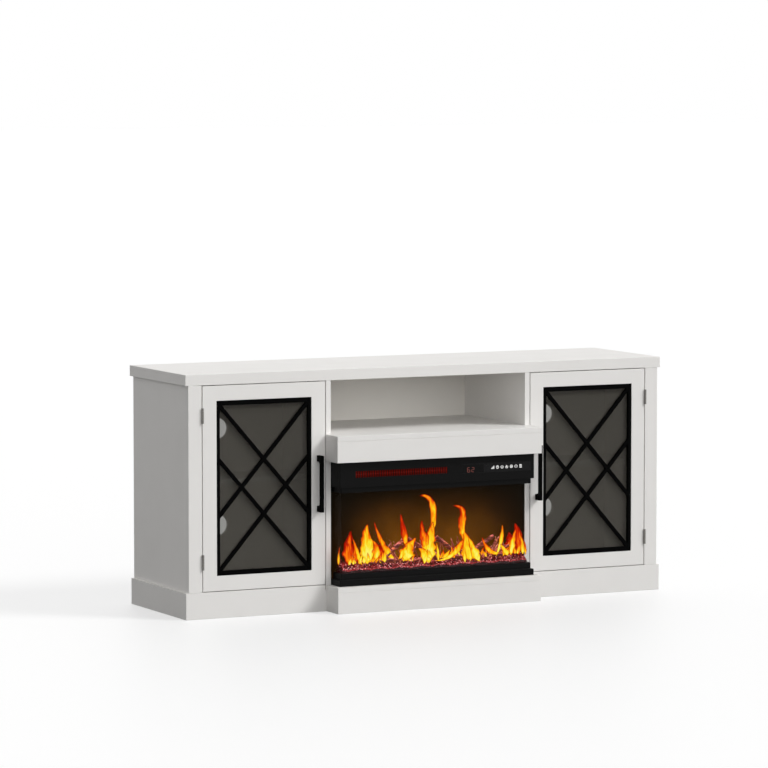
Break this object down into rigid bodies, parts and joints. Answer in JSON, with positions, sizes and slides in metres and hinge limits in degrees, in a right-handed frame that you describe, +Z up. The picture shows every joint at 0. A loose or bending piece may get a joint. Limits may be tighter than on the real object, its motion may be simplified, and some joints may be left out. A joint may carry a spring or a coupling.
{
  "type": "fireplace tv stand",
  "caption": "Low media cabinet with glazed lattice doors at both ends, an open bay over a mantel, and an electric fireplace with glass sides on a projecting base.",
  "frame": {"origin": "on the floor, at the middle of the footprint's bounding box", "axes": "+X along the length to the right as seen from the front, +Y to the back, so the doors and the fireplace face -Y, and +Z up"},
  "size_m": [1.778, 0.553, 0.805],
  "materials": {
    "white_lacquer": "satin white lacquer",
    "back_board": "matt white foil",
    "black_steel": "matt black powder coat",
    "case_steel": "satin black enamel",
    "tinted_glass": "polished, tinted",
    "clear_glass": "polished",
    "satin_nickel": "satin nickel",
    "black_plastic": "moulded",
    "gloss_panel": "gloss black touch panel",
    "flame_screen": "smoked acrylic",
    "ember_crystal": "crushed crystal lit from below",
    "charred_log": "moulded resin bark",
    "heater_fins": "mill",
    "motor_steel": "zinc plated",
    "bright_tabs": "bright"
  },
  "bodies": {
    "cabinet": {"top_panel": "white_lacquer", "mantel_shelf": "white_lacquer", "mantel_fascia": "white_lacquer", "centre_deck": "white_lacquer", "base_fascia": "white_lacquer", "left_side_panel": "white_lacquer", "left_divider": "white_lacquer", "left_stile": "white_lacquer", "left_floor_panel": "white_lacquer", "left_shelf": "white_lacquer", "left_plinth_front": "white_lacquer", "left_plinth_side": "white_lacquer", "left_mantel_return": "white_lacquer", "left_base_return": "white_lacquer", "right_side_panel": "white_lacquer", "right_divider": "white_lacquer", "right_stile": "white_lacquer", "right_floor_panel": "white_lacquer", "right_shelf": "white_lacquer", "right_plinth_front": "white_lacquer", "right_plinth_side": "white_lacquer", "right_mantel_return": "white_lacquer", "right_base_return": "white_lacquer", "back_panel": "back_board", "left_back_panel": "back_board", "right_back_panel": "back_board", "left_upper_frame_leaf": "satin_nickel", "left_lower_frame_leaf": "satin_nickel", "left_magnetic_catch": "black_plastic", "left_side_pane": "clear_glass", "right_upper_frame_leaf": "satin_nickel", "right_lower_frame_leaf": "satin_nickel", "right_magnetic_catch": "black_plastic", "right_side_pane": "clear_glass", "front_pane": "clear_glass", "fireplace_case": "case_steel", "fireplace_header": "case_steel", "fireplace_sill": "case_steel", "cord_gland": "black_plastic", "control_panel": "gloss_panel", "flame_screen": "flame_screen", "ember_bed": "ember_crystal", "log_set": "charred_log", "heater_element": "heater_fins", "blower_motor": "motor_steel", "spindle_motor": "motor_steel"},
    "left_door": {"left_door_frame": "white_lacquer", "left_door_lattice": "black_steel", "left_door_glass": "tinted_glass", "left_door_handle": "black_steel", "left_upper_door_leaf": "satin_nickel", "left_lower_door_leaf": "satin_nickel"},
    "right_door": {"right_door_frame": "white_lacquer", "right_door_lattice": "black_steel", "right_door_glass": "tinted_glass", "right_door_handle": "black_steel", "right_upper_door_leaf": "satin_nickel", "right_lower_door_leaf": "satin_nickel"},
    "blower": {"blower_wheel": "black_plastic"},
    "spindle": {"flame_spindle": "bright_tabs"}
  },
  "joints": [
    {"name": "left_door_hinge", "type": "hinge", "parent": "cabinet", "child": "left_door", "pos_m": [-0.8295, -0.192, 0.428], "axis": [0, 0, -1], "range_deg": [0, 110]},
    {"name": "right_door_hinge", "type": "hinge", "parent": "cabinet", "child": "right_door", "pos_m": [0.8295, -0.192, 0.428], "axis": [0, 0, 1], "range_deg": [0, 110]},
    {"name": "blower_spin", "type": "hinge", "parent": "cabinet", "child": "blower", "pos_m": [-0.112, -0.12, 0.44975], "axis": [1, 0, 0], "continuous": true},
    {"name": "spindle_spin", "type": "hinge", "parent": "cabinet", "child": "spindle", "pos_m": [0, -0.14, 0.1492], "axis": [1, 0, 0], "continuous": true}
  ]
}
